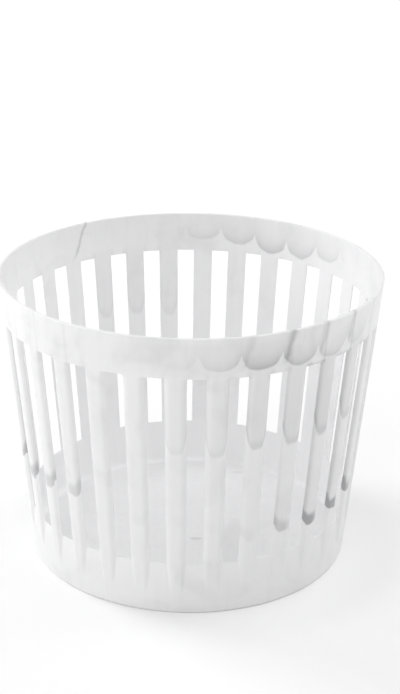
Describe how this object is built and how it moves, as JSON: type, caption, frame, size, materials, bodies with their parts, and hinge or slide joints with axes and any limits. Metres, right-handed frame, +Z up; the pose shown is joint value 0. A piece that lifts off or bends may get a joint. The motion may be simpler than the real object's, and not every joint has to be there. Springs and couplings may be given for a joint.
{
  "type": "storage basket",
  "caption": "Round tapered storage basket with an open top, a plain rim band, upright slots between slats, a plain lower band and a flat floor.",
  "frame": {"origin": "centre of the foot, on the surface the basket stands on", "axes": "+Z up along the basket's axis; -Y towards the viewer, where a slot lies close to the middle; +X to the viewer's right"},
  "size_m": [0.2794, 0.2794, 0.216],
  "materials": {
    "marbled_plastic": "satin moulded plastic, white with soft grey flow veins"
  },
  "bodies": {
    "root": {"rim_band": "marbled_plastic", "lower_band": "marbled_plastic", "basket_floor": "marbled_plastic", "slat_01": "marbled_plastic", "slat_02": "marbled_plastic", "slat_03": "marbled_plastic", "slat_04": "marbled_plastic", "slat_05": "marbled_plastic", "slat_06": "marbled_plastic", "slat_07": "marbled_plastic", "slat_08": "marbled_plastic", "slat_09": "marbled_plastic", "slat_10": "marbled_plastic", "slat_11": "marbled_plastic", "slat_12": "marbled_plastic", "slat_13": "marbled_plastic", "slat_14": "marbled_plastic", "slat_15": "marbled_plastic", "slat_16": "marbled_plastic", "slat_17": "marbled_plastic", "slat_18": "marbled_plastic", "slat_19": "marbled_plastic", "slat_20": "marbled_plastic", "slat_21": "marbled_plastic", "slat_22": "marbled_plastic", "slat_23": "marbled_plastic", "slat_24": "marbled_plastic", "slat_25": "marbled_plastic", "slat_26": "marbled_plastic", "slat_27": "marbled_plastic", "slat_28": "marbled_plastic", "slat_29": "marbled_plastic", "slat_30": "marbled_plastic"}
  },
  "joints": []
}
